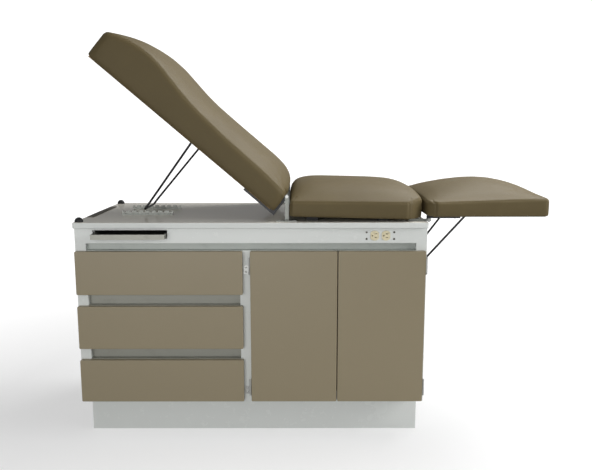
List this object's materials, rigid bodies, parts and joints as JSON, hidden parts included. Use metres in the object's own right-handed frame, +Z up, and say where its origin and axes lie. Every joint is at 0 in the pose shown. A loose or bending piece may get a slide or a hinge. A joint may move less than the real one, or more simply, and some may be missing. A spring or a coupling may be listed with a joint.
{
  "type": "examination table",
  "caption": "Cabinet-base examination table with tilting padded backrest on a rack prop, fixed seat, drop leg section, drawers, cupboard doors, pull-out tray and power receptacle.",
  "frame": {"origin": "on the floor under the middle of the cabinet, on the plinth's cross board", "axes": "+X to the foot end, +Y to the back of the cabinet, +Z up"},
  "size_m": [1.632, 0.632, 1.4119],
  "materials": {
    "white_panel": "gloss",
    "channel_metal": "satin",
    "front_laminate": "satin",
    "drawer_board": "satin",
    "steel": "satin",
    "dark_screw": "satin",
    "catch_plastic": "satin",
    "ivory_plastic": "satin",
    "black_rubber": "matte",
    "dark_strip": "matte",
    "vinyl": "satin",
    "plywood": "matte",
    "black_rod": "satin"
  },
  "bodies": {
    "cabinet": {"back_panel": "white_panel", "back_rack": "steel", "backrest_ears": "steel", "backrest_hinge_pins": "steel", "bottom_rail": "white_panel", "cabinet_floor": "white_panel", "centre_divider": "white_panel", "centre_stile": "white_panel", "cupboard_shelf": "white_panel", "door_catches": "catch_plastic", "door_left_frame_leaves": "steel", "door_left_hinge_pins": "steel", "door_right_frame_leaves": "steel", "door_right_hinge_pins": "steel", "drawer_channel_1": "channel_metal", "drawer_channel_2": "channel_metal", "drawer_runners": "steel", "finger_channel": "channel_metal", "head_strip": "dark_strip", "left_side_panel": "white_panel", "left_stile": "white_panel", "leg_ears": "steel", "leg_hinge_pins": "steel", "leg_rack": "steel", "plinth_frame": "white_panel", "receptacle_body": "ivory_plastic", "receptacle_box": "steel", "receptacle_screws": "dark_screw", "right_side_panel": "white_panel", "right_stile": "white_panel", "rubber_bumpers": "black_rubber", "seat_board": "plywood", "seat_cushion": "vinyl", "seat_spacers": "plywood", "shelf_pegs": "steel", "top_rail": "white_panel", "top_slab": "white_panel", "tray_runners": "steel"},
    "backrest": {"backrest_board": "plywood", "backrest_cushion": "vinyl", "backrest_arms": "steel", "backrest_prop_clips": "steel"},
    "backrest_prop": {"backrest_prop": "black_rod"},
    "leg_section": {"leg_board": "plywood", "leg_cushion": "vinyl", "leg_arms": "steel", "leg_prop_clips": "steel"},
    "leg_prop": {"leg_prop": "black_rod"},
    "drawer_1": {"drawer_front_1": "front_laminate", "drawer_box_1": "drawer_board"},
    "drawer_2": {"drawer_front_2": "front_laminate", "drawer_box_2": "drawer_board"},
    "drawer_3": {"drawer_front_3": "front_laminate", "drawer_box_3": "drawer_board"},
    "door_left": {"door_left": "front_laminate", "door_left_door_leaves": "steel"},
    "door_right": {"door_right": "front_laminate", "door_right_door_leaves": "steel"},
    "tray": {"tray_pan": "channel_metal"}
  },
  "joints": [
    {"name": "backrest_tilt", "type": "hinge", "parent": "cabinet", "child": "backrest", "pos_m": [0.124, 0, 0.87], "axis": [0, 1, 0], "range_deg": [-40.5, 6]},
    {"name": "backrest_prop_swing", "type": "hinge", "parent": "backrest", "child": "backrest_prop", "pos_m": [-0.20945, 0, 1.05853], "axis": [0, 1, 0], "range_deg": [-14, 93.5]},
    {"name": "leg_tilt", "type": "hinge", "parent": "cabinet", "child": "leg_section", "pos_m": [0.618, 0, 0.788], "axis": [0, 1, 0], "range_deg": [0, 90]},
    {"name": "leg_prop_swing", "type": "hinge", "parent": "leg_section", "child": "leg_prop", "pos_m": [0.784, 0, 0.7978], "axis": [0, 1, 0], "range_deg": [-130, 0]},
    {"name": "drawer_1_slide", "type": "slide", "parent": "cabinet", "child": "drawer_1", "axis": [0, -1, 0], "range_m": [0, 0.4]},
    {"name": "drawer_2_slide", "type": "slide", "parent": "cabinet", "child": "drawer_2", "axis": [0, -1, 0], "range_m": [0, 0.4]},
    {"name": "drawer_3_slide", "type": "slide", "parent": "cabinet", "child": "drawer_3", "axis": [0, -1, 0], "range_m": [0, 0.4]},
    {"name": "door_left_swing", "type": "hinge", "parent": "cabinet", "child": "door_left", "pos_m": [-0.0067, -0.305, 0.414], "axis": [0, 0, -1], "range_deg": [0, 90]},
    {"name": "door_right_swing", "type": "hinge", "parent": "cabinet", "child": "door_right", "pos_m": [0.6062, -0.305, 0.414], "axis": [0, 0, 1], "range_deg": [0, 110]},
    {"name": "tray_slide", "type": "slide", "parent": "cabinet", "child": "tray", "axis": [0, -1, 0], "range_m": [-0.036, 0.3]}
  ],
  "couplings": [
    {"joint": "backrest_prop_swing", "follows": "backrest_tilt", "ratio": -2.272},
    {"joint": "leg_prop_swing", "follows": "leg_tilt", "ratio": -1.4336}
  ]
}
